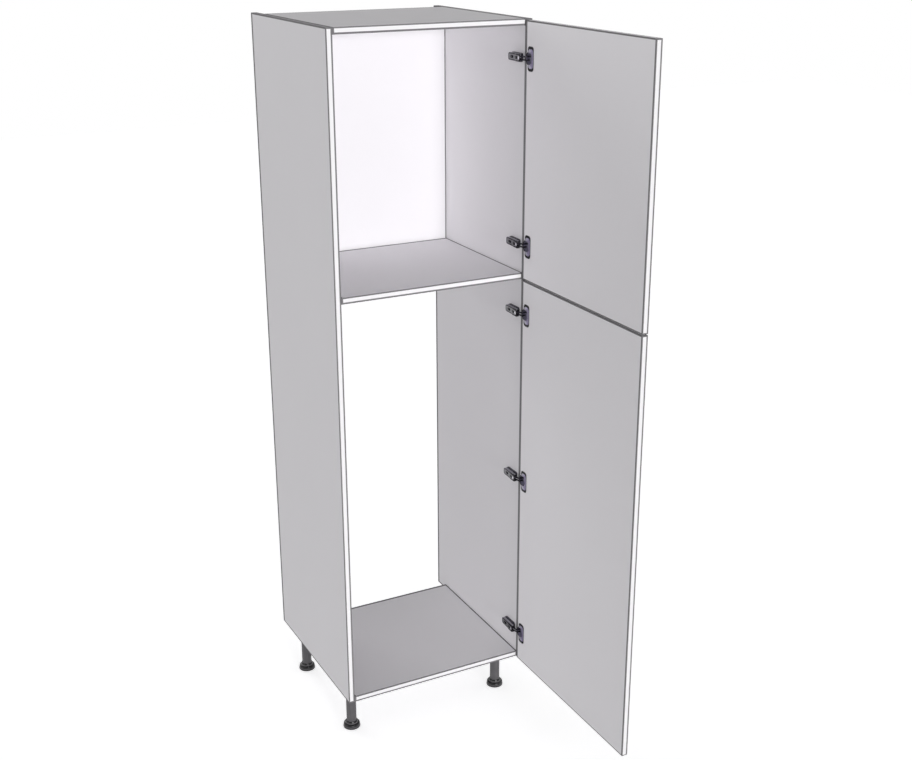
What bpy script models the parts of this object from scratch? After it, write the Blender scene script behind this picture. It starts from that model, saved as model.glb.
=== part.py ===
"""Tall housing for a built-in fridge: board carcass, two slab doors on concealed hinges, four screw-in legs.

Metres, +Z up. The origin is on the floor, under the middle of the unit as it stands with both doors open.
The carcass front faces -Y, and the doors hang on its +X side, opened square to the front.
"""

import math

import bmesh
import bpy
from mathutils import Vector

# Carcass
WIDTH = 0.600
DEPTH = 0.560
CARCASS_HEIGHT = 1.970
BOARD = 0.018
REAR_VOID = 0.060
SHELF_ABOVE_LOWER_DOOR = 0.019
EDGE_ROUND = 0.0008
SEAT_GAP = 0.0003

# Legs
LEG_HEIGHT = 0.150
LEG_SIDE_INSET = 0.045
LEG_FRONT_INSET = 0.097
LEG_REAR_INSET = 0.024
SOCKET_FLANGE_RADIUS = 0.0235
SOCKET_FLANGE = 0.003
SOCKET_LENGTH = 0.030
SOCKET_WALL = 0.0025
TUBE_RADIUS = 0.0155
TUBE_WALL = 0.002
FOOT_RADIUS = 0.0265
FOOT_HEIGHT = 0.016
FOOT_ROUND = 0.004
FOOT_COLLAR_RADIUS = 0.0185
FOOT_COLLAR_HEIGHT = 0.023
FOOT_SPIGOT_LENGTH = 0.035
FOOT_SEAT_DEPTH = 0.003

# Doors, measured as they hang
DOOR_THICKNESS = 0.018
DOOR_WIDTH = 0.596
LOWER_DOOR_HEIGHT = 1.245
BOTTOM_REVEAL = 0.001
DOOR_GAP = 0.003
TOP_REVEAL = 0.003
HINGE_END_INSET = 0.100

# Open position of a door: how far inside the side panel's inner face, and ahead of the carcass front
DOOR_OPEN_INSET = 0.0057
DOOR_OPEN_REACH = 0.0066

# Hinge cup, pressed into the door
CUP_SETBACK = 0.0205
CUP_RADIUS = 0.0172
CUP_WALL = 0.0008
CUP_DEPTH = 0.0122
CUP_FLOOR = 0.0007
CUP_FLANGE = 0.0008
CUP_FLANGE_ENDS = 0.0007
CUP_FLANGE_LENGTH = 0.066
CUP_FLANGE_WIDTH = 0.030
CUP_FLANGE_SETBACK = 0.008
CUP_FLANGE_ROUND = 0.009
CUP_RIM = 0.001
CUP_CORNER = 0.0005
BORE_FIT = 0.0003

# Pivot pins of the links: two in the cup, and one staple through the arm whose legs are the other two
PIN_RADIUS = 0.001
OPEN_PIN_RADIUS = 0.0008
OUTER_PIN_FROM_WALL = 0.0053
OUTER_PIN_ABOVE_FLOOR = 0.0028
INNER_PIN_FROM_WALL = 0.0044
INNER_PIN_ABOVE_FLOOR = 0.0059
PIN_MIDDLE_GAP = 0.0009
ARM_PIVOT_DROP = 0.016
OUTER_PIVOT_SETBACK = 0.0042
INNER_PIVOT_SETBACK = 0.0112
STAPLE_CORNER = 0.0015
STAPLE_END = 0.0006

# Links
LINK_THICKNESS = 0.0026
LINK_HEIGHT = 0.004
LINK_EYE_RADIUS = 0.0024
LINK_MIDDLE_GAP = 0.0025
RUNNING_GAP = 0.0003
OPEN_EYE_RADIUS = 0.0023
OPEN_EYE_PLAY = 0.0009
OPEN_EYE_SHIFT_X = -0.0001
OPEN_EYE_SHIFT_Y = 0.0004
OUTER_BEND_SHARES = ((0.298, -0.167), (0.601, -0.328))
INNER_BEND_SHARES = ((0.426, -0.120), (0.853, -0.242))

# Hinge arm, a channel of sheet that carries the links at its nose
ARM_HEIGHT = 0.020
ARM_SHEET = 0.0012
ARM_CHEEK = 0.0015
ARM_START = 0.0008
ARM_END = 0.069
ARM_NOSE_DEPTH = 0.010
ARM_NOSE_END = 0.022
ARM_BASE_START = 0.0252
ARM_STEP_START = 0.0225
ARM_STEP_END = 0.030
ARM_STEP = 0.002
ARM_TAPER = 0.0015
ARM_REAR_ROUND = 0.006
ARM_SCREW_RADIUS = 0.0028
FRONT_SCREW_SETBACK = 0.018
REAR_SCREW_SETBACK = 0.045

# Mounting plate, screwed on the side panel under the arm
PLATE_THICKNESS = 0.006
PLATE_HEIGHT = 0.022
PLATE_START = 0.0145
PLATE_END = 0.070
PLATE_ROUND = 0.006
PLATE_SCREW_RADIUS = 0.002
PLATE_SCREW_SETBACK = 0.030
PLATE_SCREW_SPACING = 0.032

# Resolution, the overrun of every cutter, and the distance within which loose points are one
LEG_STEPS = 24
CUP_STEPS = 32
PIN_STEPS = 10
EYE_STEPS = 16
ARC_STEPS = 4
ROUND_PROFILE = 0.5
SHARP_EDGE_DEGREES = 35
OVERRUN = 0.004
WELD = 0.000003

# Places that follow from the sizes
FRONT_Y = (DOOR_WIDTH + DOOR_OPEN_REACH - DEPTH) / 2
REAR_Y = FRONT_Y + DEPTH
PANEL_REAR_Y = REAR_Y - REAR_VOID
BACK_PANEL_Y = PANEL_REAR_Y - BOARD
SIDE_INNER_X = WIDTH / 2 - BOARD
BASE_Z = LEG_HEIGHT
CARCASS_TOP_Z = BASE_Z + CARCASS_HEIGHT
DOOR_INNER_X = SIDE_INNER_X - DOOR_OPEN_INSET
DOOR_EDGE_Y = FRONT_Y - DOOR_OPEN_REACH
LOWER_DOOR_Z = BASE_Z + BOTTOM_REVEAL
LOWER_DOOR_TOP_Z = LOWER_DOOR_Z + LOWER_DOOR_HEIGHT
SHELF_TOP_Z = LOWER_DOOR_TOP_Z + SHELF_ABOVE_LOWER_DOOR
UPPER_DOOR_Z = LOWER_DOOR_TOP_Z + DOOR_GAP
UPPER_DOOR_TOP_Z = CARCASS_TOP_Z - TOP_REVEAL
CUP_INNER_RADIUS = CUP_RADIUS - CUP_WALL
CUP_AXIS_Y = DOOR_EDGE_Y - CUP_SETBACK
OUTER_PIN_OFFSET = CUP_INNER_RADIUS - OUTER_PIN_FROM_WALL
INNER_PIN_OFFSET = CUP_INNER_RADIUS - INNER_PIN_FROM_WALL
DOOR_PIVOT = Vector((DOOR_INNER_X + CUP_DEPTH - OUTER_PIN_ABOVE_FLOOR, CUP_AXIS_Y + OUTER_PIN_OFFSET, 0))
OPEN_PIVOT = Vector((DOOR_INNER_X + CUP_DEPTH - INNER_PIN_ABOVE_FLOOR, CUP_AXIS_Y + INNER_PIN_OFFSET, 0))
OPEN_EYE = OPEN_PIVOT + Vector((OPEN_EYE_SHIFT_X, OPEN_EYE_SHIFT_Y, 0))
OUTER_PIVOT = Vector((SIDE_INNER_X - ARM_PIVOT_DROP, FRONT_Y + OUTER_PIVOT_SETBACK, 0))
INNER_PIVOT = Vector((SIDE_INNER_X - ARM_PIVOT_DROP, FRONT_Y + INNER_PIVOT_SETBACK, 0))
PLATE_FACE_X = SIDE_INNER_X - SEAT_GAP - PLATE_THICKNESS
PLATE_MIDDLE = (PLATE_START + PLATE_END) / 2
ARM_BASE_X = PLATE_FACE_X - SEAT_GAP
ARM_WEB_X = OUTER_PIVOT.x - LINK_EYE_RADIUS - RUNNING_GAP - ARM_SHEET
MOUTH_LEFT = (0, -math.pi / 2, 0)
LONG_SIDE_BACK = (math.pi / 2, 0, math.pi / 2)


def clear_scene():
    for leftover in list(bpy.data.objects):
        bpy.data.objects.remove(leftover, do_unlink=True)


def new_collection(name):
    collection = bpy.data.collections.new(name)
    bpy.context.scene.collection.children.link(collection)
    return collection


def material(name, color, roughness, metallic):
    look = bpy.data.materials.new(name)
    look.use_nodes = True
    shader = look.node_tree.nodes["Principled BSDF"]
    shader.inputs["Base Color"].default_value = (*color, 1)
    shader.inputs["Roughness"].default_value = roughness
    shader.inputs["Metallic"].default_value = metallic
    return look


clear_scene()
PARTS = new_collection("fridge_housing_unit")
TOOLS = new_collection("cutters")


def place_piece(name, mesh, look, place=(0, 0, 0), home=None, turn=(0, 0, 0)):
    """A visible sub-part; home is the empty on the joint axis that carries it."""
    piece = bpy.data.objects.new(name, mesh)
    PARTS.objects.link(piece)
    piece.data.materials.clear()
    piece.data.materials.append(look)
    piece.parent = home
    piece.location = Vector(place) - (home.location if home else Vector())
    piece.rotation_euler = turn
    return piece


def pivot(name, place):
    empty = bpy.data.objects.new(name, None)
    PARTS.objects.link(empty)
    empty.location = place
    return empty


def tool_object(name, mesh, place=(0, 0, 0), turn=(0, 0, 0)):
    tool = bpy.data.objects.new(name, mesh)
    TOOLS.objects.link(tool)
    tool.hide_render = True
    tool.display_type = "WIRE"
    tool.location = place
    tool.rotation_euler = turn
    return tool


def boolean(piece, tool, operation="DIFFERENCE"):
    modifier = piece.modifiers.new(tool.name, "BOOLEAN")
    modifier.operation = operation
    modifier.solver = "EXACT"
    modifier.object = tool


def evaluated_mesh(source, name):
    """The mesh of an object with its modifiers applied."""
    bpy.context.view_layer.update()
    graph = bpy.context.evaluated_depsgraph_get()
    mesh = bpy.data.meshes.new_from_object(source.evaluated_get(graph), depsgraph=graph)
    mesh.name = name
    return mesh


def weld(mesh):
    """Join the loose caps of a filled curve to its sides."""
    shape = bmesh.new()
    shape.from_mesh(mesh)
    bmesh.ops.remove_doubles(shape, verts=shape.verts, dist=WELD)
    shape.to_mesh(mesh)
    shape.free()


def settle(source, tools, name):
    """Apply the modifiers of a work object, then remove it and its tools; returns the finished mesh."""
    mesh = evaluated_mesh(source, name)
    for used in [source, *tools]:
        bpy.data.objects.remove(used, do_unlink=True)
    shade(mesh)
    return mesh


def shade(mesh):
    mesh.shade_smooth()
    mesh.set_sharp_from_angle(angle=math.radians(SHARP_EDGE_DEGREES))


def box_mesh(name, size):
    """A box about its own middle."""
    mesh = bpy.data.meshes.new(name)
    shape = bmesh.new()
    bmesh.ops.create_cube(shape, size=1)
    bmesh.ops.scale(shape, vec=size, verts=shape.verts)
    shape.to_mesh(mesh)
    shape.free()
    return mesh


def cylinder_mesh(name, radius, length, steps):
    """A cylinder along Z about its own middle."""
    mesh = bpy.data.meshes.new(name)
    shape = bmesh.new()
    bmesh.ops.create_cone(
        shape, cap_ends=True, segments=steps, radius1=radius, radius2=radius, depth=length
    )
    shape.to_mesh(mesh)
    shape.free()
    return mesh


def outline_mesh(name, points, thickness):
    """A flat outline in XY, filled and as thick as given about Z zero."""
    curve = bpy.data.curves.new(name, "CURVE")
    curve.dimensions = "2D"
    curve.fill_mode = "BOTH"
    curve.extrude = thickness / 2
    spline = curve.splines.new("POLY")
    spline.points.add(len(points) - 1)
    for point, (x, y) in zip(spline.points, points):
        point.co = (x, y, 0, 1)
    spline.use_cyclic_u = True
    guide = bpy.data.objects.new(name, curve)
    TOOLS.objects.link(guide)
    mesh = evaluated_mesh(guide, name)
    weld(mesh)
    bpy.data.objects.remove(guide, do_unlink=True)
    return mesh


def turned_mesh(name, profile, steps, closed=False):
    """A profile of radius and height, run down its outer side, turned about Z."""
    mesh = bpy.data.meshes.new(name)
    shape = bmesh.new()
    corners = [shape.verts.new((radius, 0, height)) for radius, height in profile]
    for first, second in zip(corners, corners[1:]):
        shape.edges.new((first, second))
    if closed:
        shape.edges.new((corners[-1], corners[0]))
    shape.to_mesh(mesh)
    shape.free()
    lathe = bpy.data.objects.new(name, mesh)
    TOOLS.objects.link(lathe)
    screw = lathe.modifiers.new("turn", "SCREW")
    screw.steps = steps
    screw.render_steps = steps
    screw.use_merge_vertices = True
    screw.merge_threshold = WELD
    return settle(lathe, [], name)


def arc(center_x, center_y, radius, start, end, steps=ARC_STEPS):
    """Points of an arc, its angles in quarter turns."""
    turns = [start + (end - start) * step / steps for step in range(steps + 1)]
    return [
        (center_x + radius * math.cos(turn * math.pi / 2), center_y + radius * math.sin(turn * math.pi / 2))
        for turn in turns
    ]


def rounded_bar(length, width, corner):
    """Outline of a bar along X about its middle, with rounded corners."""
    reach_x = length / 2 - corner
    reach_y = width / 2 - corner
    points = []
    for quarter, (side_x, side_y) in enumerate(((1, 1), (-1, 1), (-1, -1), (1, -1))):
        points += arc(side_x * reach_x, side_y * reach_y, corner, quarter, quarter + 1)
    return points


def panel(name, low, high, look, home=None):
    """A board between two corners, its edges lightly rounded."""
    low, high = Vector(low), Vector(high)
    piece = place_piece(name, box_mesh(name, high - low), look, (low + high) / 2, home)
    rounding = piece.modifiers.new("edge", "BEVEL")
    rounding.width = EDGE_ROUND
    rounding.segments = 2
    rounding.limit_method = "ANGLE"
    return piece


BOARD_LOOK = material("white_board", (0.90, 0.90, 0.91), 0.45, 0)
DOOR_LOOK = material("white_door", (0.92, 0.92, 0.93), 0.40, 0)
CUP_LOOK = material("nickel_cup", (0.40, 0.38, 0.46), 0.35, 1)
ARM_LOOK = material("dark_steel", (0.16, 0.16, 0.17), 0.40, 1)
LINK_LOOK = material("link_steel", (0.22, 0.22, 0.23), 0.38, 1)
PIN_LOOK = material("pin_steel", (0.45, 0.45, 0.47), 0.30, 1)
PLATE_LOOK = material("plate_steel", (0.18, 0.18, 0.19), 0.42, 1)
SOCKET_LOOK = material("socket_plastic", (0.04, 0.04, 0.045), 0.50, 0)
TUBE_LOOK = material("tube_plastic", (0.11, 0.11, 0.115), 0.48, 0)
FOOT_LOOK = material("foot_plastic", (0.03, 0.03, 0.032), 0.50, 0)


def build_carcass():
    """Sides, three panels between them, and a back panel behind the shelf and under the top panel."""
    inner_x = SIDE_INNER_X - SEAT_GAP
    outer_x = WIDTH / 2
    panel("left_side_panel", (-outer_x, FRONT_Y, BASE_Z), (-SIDE_INNER_X, REAR_Y, CARCASS_TOP_Z), BOARD_LOOK)
    panel("right_side_panel", (SIDE_INNER_X, FRONT_Y, BASE_Z), (outer_x, REAR_Y, CARCASS_TOP_Z), BOARD_LOOK)
    shelves = {
        "bottom_panel": (BASE_Z + BOARD, PANEL_REAR_Y),
        "fixed_shelf": (SHELF_TOP_Z, BACK_PANEL_Y - SEAT_GAP),
        "top_panel": (CARCASS_TOP_Z, PANEL_REAR_Y),
    }
    for name, (top, rear) in shelves.items():
        panel(name, (-inner_x, FRONT_Y, top - BOARD), (inner_x, rear, top), BOARD_LOOK)
    low = (-inner_x, BACK_PANEL_Y, SHELF_TOP_Z - BOARD)
    high = (inner_x, PANEL_REAR_Y, CARCASS_TOP_Z - BOARD - SEAT_GAP)
    panel("niche_back_panel", low, high, BOARD_LOOK)


def build_legs():
    """Each leg is a socket under the bottom panel, a tube in it, and a foot screwed up into the tube."""
    socket_top = BASE_Z - SEAT_GAP
    socket_bore = TUBE_RADIUS + SEAT_GAP
    socket_outer = socket_bore + SOCKET_WALL
    socket_profile = [
        (0, 0),
        (SOCKET_FLANGE_RADIUS, 0),
        (SOCKET_FLANGE_RADIUS, -SOCKET_FLANGE),
        (socket_outer, -SOCKET_FLANGE),
        (socket_outer, -SOCKET_LENGTH),
        (socket_bore, -SOCKET_LENGTH),
        (socket_bore, -SOCKET_FLANGE),
        (0, -SOCKET_FLANGE),
    ]
    tube_top = socket_top - SOCKET_FLANGE - SEAT_GAP
    tube_bottom = FOOT_HEIGHT - FOOT_SEAT_DEPTH + SEAT_GAP
    tube_bore = TUBE_RADIUS - TUBE_WALL
    tube_profile = [
        (TUBE_RADIUS, tube_top),
        (TUBE_RADIUS, tube_bottom),
        (tube_bore, tube_bottom),
        (tube_bore, tube_top),
    ]
    spigot = tube_bore - SEAT_GAP
    seat_wall = TUBE_RADIUS + SEAT_GAP
    seat_floor = FOOT_HEIGHT - FOOT_SEAT_DEPTH
    foot_profile = [
        (0, seat_floor + FOOT_SPIGOT_LENGTH),
        (spigot, seat_floor + FOOT_SPIGOT_LENGTH),
        (spigot, seat_floor),
        (seat_wall, seat_floor),
        (seat_wall, FOOT_COLLAR_HEIGHT),
        (FOOT_COLLAR_RADIUS, FOOT_COLLAR_HEIGHT),
        (FOOT_RADIUS - FOOT_ROUND, FOOT_HEIGHT),
        *foot_shoulder(),
        (FOOT_RADIUS, FOOT_ROUND / 2),
        (FOOT_RADIUS - FOOT_ROUND / 2, 0),
        (0, 0),
    ]
    socket = turned_mesh("leg_socket", socket_profile, LEG_STEPS)
    tube = turned_mesh("leg_tube", tube_profile, LEG_STEPS, closed=True)
    foot = turned_mesh("leg_foot", foot_profile, LEG_STEPS)
    leg_x = WIDTH / 2 - LEG_SIDE_INSET
    rows = {"front": FRONT_Y + LEG_FRONT_INSET, "rear": PANEL_REAR_Y - LEG_REAR_INSET}
    for row, leg_y in rows.items():
        for hand, side in (("left", -1), ("right", 1)):
            spot = (side * leg_x, leg_y, 0)
            place_piece(f"{row}_{hand}_leg_socket", socket, SOCKET_LOOK, (*spot[:2], socket_top))
            place_piece(f"{row}_{hand}_leg_tube", tube, TUBE_LOOK, spot)
            place_piece(f"{row}_{hand}_leg_foot", foot, FOOT_LOOK, spot)


def foot_shoulder():
    """The rounded upper edge of a foot, run downwards."""
    rounding = arc(FOOT_RADIUS - FOOT_ROUND, FOOT_HEIGHT - FOOT_ROUND, FOOT_ROUND, 1, 0, ARC_STEPS // 2)
    return rounding[1:]


def hinge_heights(bottom, top, count):
    """Heights of the hinges of a door: one near each end, the rest spread evenly between them."""
    first = bottom + HINGE_END_INSET
    last = top - HINGE_END_INSET
    return [first + (last - first) * place / (count - 1) for place in range(count)]


def build_door(name, bottom, top, heights, home):
    low = (DOOR_INNER_X, DOOR_EDGE_Y - DOOR_WIDTH, bottom)
    high = (DOOR_INNER_X + DOOR_THICKNESS, DOOR_EDGE_Y, top)
    door = panel(name, low, high, DOOR_LOOK, home)
    bore_depth = CUP_DEPTH + CUP_FLOOR + BORE_FIT
    bore = cylinder_mesh("cup_bore", CUP_RADIUS + BORE_FIT, bore_depth + OVERRUN, CUP_STEPS)
    bore_x = DOOR_INNER_X + (bore_depth - OVERRUN) / 2
    for number, height in enumerate(heights, 1):
        cutter = tool_object(f"{name}_bore_{number}", bore, (bore_x, CUP_AXIS_Y, height), MOUTH_LEFT)
        boolean(door, cutter)


def cup_mesh():
    """Cup and flange as one pressing, its mouth along +Z and the door's inner face at Z zero.

    The flange ends are a touch thinner than the rim round the mouth, and set back from the door's hinge edge.
    """
    flange_top = SEAT_GAP + CUP_FLANGE
    bottom = -CUP_DEPTH - CUP_FLOOR
    profile = [
        (0, flange_top),
        (CUP_RADIUS + CUP_RIM, flange_top),
        (CUP_RADIUS + CUP_RIM, SEAT_GAP),
        (CUP_RADIUS, SEAT_GAP),
        (CUP_RADIUS, bottom + CUP_CORNER),
        (CUP_RADIUS - CUP_CORNER, bottom),
        (0, bottom),
    ]
    shell = tool_object("cup_shell", turned_mesh("cup_shell", profile, CUP_STEPS))
    bar = rounded_bar(CUP_FLANGE_LENGTH, CUP_FLANGE_WIDTH, CUP_FLANGE_ROUND)
    plate = tool_object("cup_flange", outline_mesh("cup_flange", bar, CUP_FLANGE_ENDS))
    plate.location = (0, -CUP_FLANGE_SETBACK, SEAT_GAP + CUP_FLANGE / 2)
    hollow_length = CUP_DEPTH + flange_top + OVERRUN
    hollow = cylinder_mesh("cup_hollow", CUP_INNER_RADIUS, hollow_length, CUP_STEPS)
    cutter = tool_object("cup_hollow", hollow, (0, 0, hollow_length / 2 - CUP_DEPTH))
    boolean(shell, plate, "UNION")
    boolean(shell, cutter)
    return settle(shell, [plate, cutter], "hinge_cup")


def wall_reach(offset, radius):
    """Height above the cup's middle at which a pin's end meets the cup wall."""
    return math.sqrt(CUP_INNER_RADIUS**2 - (offset + radius) ** 2) - SEAT_GAP


def link_mesh(name, start, end, bends, end_radius, end_hole):
    """A bent strap with an eye at each end; it runs from the arm's pivot, its origin, to the cup's."""
    along = (end - start).to_2d()
    across = Vector((-along.y, along.x))
    route = [Vector((0, 0))] + [share * along + bow * across for share, bow in bends] + [along]
    strap = tool_object(name, outline_mesh(name, strap_outline(route), LINK_HEIGHT))
    tools = []
    for place, radius in ((Vector((0, 0)), LINK_EYE_RADIUS), (along, end_radius)):
        eye = cylinder_mesh("link_eye", radius, LINK_HEIGHT, EYE_STEPS)
        tools.append(tool_object("link_eye", eye, place.to_3d()))
        boolean(strap, tools[-1], "UNION")
    for place, radius in ((Vector((0, 0)), PIN_RADIUS + RUNNING_GAP), (along, end_hole)):
        hole = cylinder_mesh("link_hole", radius, LINK_HEIGHT + OVERRUN, PIN_STEPS)
        tools.append(tool_object("link_hole", hole, place.to_3d()))
        boolean(strap, tools[-1])
    return settle(strap, tools, name)


def strap_outline(route):
    """Outline of a strap of even thickness along a bent route, its corners mitred."""
    half = LINK_THICKNESS / 2
    left, right = [], []
    for place, point in enumerate(route):
        before = (point - route[place - 1]).normalized() if place else None
        after = (route[place + 1] - point).normalized() if place + 1 < len(route) else None
        heading = ((before or after) + (after or before)).normalized()
        side = Vector((-heading.y, heading.x))
        stretch = half / heading.dot(after or before)
        left.append(point + side * stretch)
        right.append(point - side * stretch)
    return left + right[::-1]


def staple_curve():
    """The bent wire through the arm: a short leg for the outer link, a long one for the inner link."""
    top = ARM_HEIGHT / 2 + SEAT_GAP + PIN_RADIUS
    reach = INNER_PIVOT.y - OUTER_PIVOT.y
    corner_low = top - STAPLE_CORNER
    points = [(0, PIN_MIDDLE_GAP)]
    points += [(y, z) for y, z in arc(STAPLE_CORNER, corner_low, STAPLE_CORNER, 2, 1)]
    points += [(y, z) for y, z in arc(reach - STAPLE_CORNER, corner_low, STAPLE_CORNER, 1, 0)]
    points += [(reach, -ARM_HEIGHT / 2 - STAPLE_END)]
    curve = bpy.data.curves.new("arm_staple", "CURVE")
    curve.dimensions = "3D"
    curve.bevel_depth = PIN_RADIUS
    curve.bevel_resolution = 2
    curve.use_fill_caps = True
    spline = curve.splines.new("POLY")
    spline.points.add(len(points) - 1)
    for point, (y, z) in zip(spline.points, points):
        point.co = (0, y, z, 1)
    return curve


def arm_mesh():
    """The arm as a channel, its origin at the side panel's inner face on the carcass front."""
    web = ARM_WEB_X - SIDE_INNER_X
    base = ARM_BASE_X - SIDE_INNER_X
    nose_base = web + ARM_NOSE_DEPTH
    step = web + ARM_STEP
    rear = step + ARM_TAPER
    sheet = ARM_SHEET
    outside = [
        (web, ARM_START),
        (nose_base, ARM_START),
        (nose_base, ARM_NOSE_END),
        (base, ARM_BASE_START),
        (base, ARM_END),
        (rear, ARM_END),
        (step, ARM_STEP_END),
        (web, ARM_STEP_START),
    ]
    inside = [
        (web + sheet, ARM_START - OVERRUN),
        (base + OVERRUN, ARM_START - OVERRUN),
        (base + OVERRUN, ARM_END - sheet),
        (rear + sheet, ARM_END - sheet),
        (step + sheet, ARM_STEP_END),
        (web + sheet, ARM_STEP_START),
    ]
    block = outline_mesh("arm_block", outside, ARM_HEIGHT)
    round_rear(block)
    arm = tool_object("hinge_arm", block)
    tools = [tool_object("arm_pocket", outline_mesh("arm_pocket", inside, ARM_HEIGHT - 2 * ARM_CHEEK))]
    hole_length = ARM_HEIGHT + OVERRUN
    short_hole = cylinder_mesh("staple_hole", PIN_RADIUS + SEAT_GAP, hole_length / 2, PIN_STEPS)
    long_hole = cylinder_mesh("staple_hole", PIN_RADIUS + SEAT_GAP, hole_length, PIN_STEPS)
    pivot_x = OUTER_PIVOT.x - SIDE_INNER_X
    tools.append(tool_object("staple_hole", short_hole, (pivot_x, OUTER_PIVOT_SETBACK, hole_length / 4)))
    tools.append(tool_object("staple_hole", long_hole, (pivot_x, INNER_PIVOT_SETBACK, 0)))
    screw = cylinder_mesh("screw_hole", ARM_SCREW_RADIUS, ARM_NOSE_DEPTH, EYE_STEPS)
    for setback in (FRONT_SCREW_SETBACK, REAR_SCREW_SETBACK):
        tools.append(tool_object("screw_hole", screw, (web + ARM_STEP / 2, setback, 0), MOUTH_LEFT))
    for tool in tools:
        boolean(arm, tool)
    return settle(arm, tools, "hinge_arm")


def round_rear(block):
    """Round the two outer corners of the arm's rear end."""
    shape = bmesh.new()
    shape.from_mesh(block)
    rear_edges = [
        edge
        for edge in shape.edges
        if all(abs(vert.co.y - ARM_END) < SEAT_GAP for vert in edge.verts)
        and abs(edge.verts[0].co.x - edge.verts[1].co.x) > ARM_SHEET
    ]
    bmesh.ops.bevel(
        shape,
        geom=rear_edges,
        offset=ARM_REAR_ROUND,
        segments=ARC_STEPS,
        profile=ROUND_PROFILE,
        affect="EDGES",
    )
    shape.to_mesh(block)
    shape.free()


def plate_mesh():
    """The mounting plate, its long side along Y, its origin at its middle on the panel side."""
    length = PLATE_END - PLATE_START
    outline = rounded_bar(length, PLATE_HEIGHT, PLATE_ROUND)
    plate = tool_object("mounting_plate", outline_mesh("mounting_plate", outline, PLATE_THICKNESS))
    screw = cylinder_mesh("plate_screw_hole", PLATE_SCREW_RADIUS, PLATE_THICKNESS + OVERRUN, EYE_STEPS)
    tools = []
    for setback in (PLATE_SCREW_SETBACK, PLATE_SCREW_SETBACK + PLATE_SCREW_SPACING):
        tools.append(tool_object("plate_screw_hole", screw, (setback - PLATE_MIDDLE, 0, 0)))
        boolean(plate, tools[-1])
    return settle(plate, tools, "mounting_plate")


def hinge_meshes():
    """The pieces of one hinge, made once and shared by all five."""
    outer_pin_top = wall_reach(OUTER_PIN_OFFSET, PIN_RADIUS)
    inner_pin_top = wall_reach(INNER_PIN_OFFSET, OPEN_PIN_RADIUS)
    outer_pin_length = outer_pin_top - PIN_MIDDLE_GAP
    inner_pin_length = inner_pin_top - PIN_MIDDLE_GAP
    close_hole = PIN_RADIUS + RUNNING_GAP
    loose_hole = OPEN_PIN_RADIUS + OPEN_EYE_PLAY
    meshes = {
        "cup": cup_mesh(),
        "arm": arm_mesh(),
        "plate": plate_mesh(),
        "outer_link": link_mesh(
            "outer_link", OUTER_PIVOT, DOOR_PIVOT, OUTER_BEND_SHARES, LINK_EYE_RADIUS, close_hole
        ),
        "inner_link": link_mesh(
            "inner_link", INNER_PIVOT, OPEN_EYE, INNER_BEND_SHARES, OPEN_EYE_RADIUS, loose_hole
        ),
        "outer_pin": cylinder_mesh("outer_cup_pin", PIN_RADIUS, outer_pin_length, PIN_STEPS),
        "inner_pin": cylinder_mesh("inner_cup_pin", OPEN_PIN_RADIUS, inner_pin_length, PIN_STEPS),
        "staple": evaluated_staple(),
    }
    for name in ("outer_pin", "inner_pin"):
        shade(meshes[name])
    return meshes, (outer_pin_top + PIN_MIDDLE_GAP) / 2, (inner_pin_top + PIN_MIDDLE_GAP) / 2


def evaluated_staple():
    guide = bpy.data.objects.new("arm_staple", staple_curve())
    TOOLS.objects.link(guide)
    mesh = settle(guide, [], "arm_staple")
    weld(mesh)
    return mesh


def build_hinge(name, height, meshes, pin_heights, pivots):
    """One hinge at its height; pivots are the empties of the door, the outer links and the inner links."""
    door, outer, inner = pivots
    up = Vector((0, 0, height))
    link_middle = Vector((0, 0, LINK_MIDDLE_GAP + LINK_HEIGHT / 2))
    outer_pin, inner_pin = (Vector((0, 0, middle)) for middle in pin_heights)
    cup_place = (DOOR_INNER_X, CUP_AXIS_Y, height)
    plate_place = (PLATE_FACE_X + PLATE_THICKNESS / 2, FRONT_Y + PLATE_MIDDLE, height)
    place_piece(f"{name}_cup", meshes["cup"], CUP_LOOK, cup_place, door, MOUTH_LEFT)
    place_piece(f"{name}_outer_cup_pin", meshes["outer_pin"], PIN_LOOK, DOOR_PIVOT + up + outer_pin, door)
    place_piece(f"{name}_inner_cup_pin", meshes["inner_pin"], PIN_LOOK, OPEN_PIVOT + up - inner_pin, door)
    place_piece(f"{name}_outer_link", meshes["outer_link"], LINK_LOOK, OUTER_PIVOT + up + link_middle, outer)
    place_piece(f"{name}_inner_link", meshes["inner_link"], LINK_LOOK, INNER_PIVOT + up - link_middle, inner)
    place_piece(f"{name}_arm", meshes["arm"], ARM_LOOK, (SIDE_INNER_X, FRONT_Y, height))
    place_piece(f"{name}_arm_staple", meshes["staple"], PIN_LOOK, OUTER_PIVOT + up)
    place_piece(f"{name}_mounting_plate", meshes["plate"], PLATE_LOOK, plate_place, None, LONG_SIDE_BACK)


def build_doors():
    meshes, *pin_heights = hinge_meshes()
    doors = {
        "upper": (UPPER_DOOR_Z, UPPER_DOOR_TOP_Z, ("bottom", "top")),
        "lower": (LOWER_DOOR_Z, LOWER_DOOR_TOP_Z, ("bottom", "middle", "top")),
    }
    for row, (bottom, top, places) in doors.items():
        up = Vector((0, 0, bottom))
        pivots = (
            pivot(f"{row}_door_pivot", DOOR_PIVOT + up),
            pivot(f"{row}_outer_link_pivot", OUTER_PIVOT + up),
            pivot(f"{row}_inner_link_pivot", INNER_PIVOT + up),
        )
        heights = hinge_heights(bottom, top, len(places))
        build_door(f"{row}_door", bottom, top, heights, pivots[0])
        for place, height in zip(places, heights):
            build_hinge(f"{row}_{place}_hinge", height, meshes, pin_heights, pivots)


build_carcass()
build_legs()
build_doors()
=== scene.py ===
"""Looks of the tall fridge housing: materials, screws, smooth turned legs, floor, studio light and camera."""

import math

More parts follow.
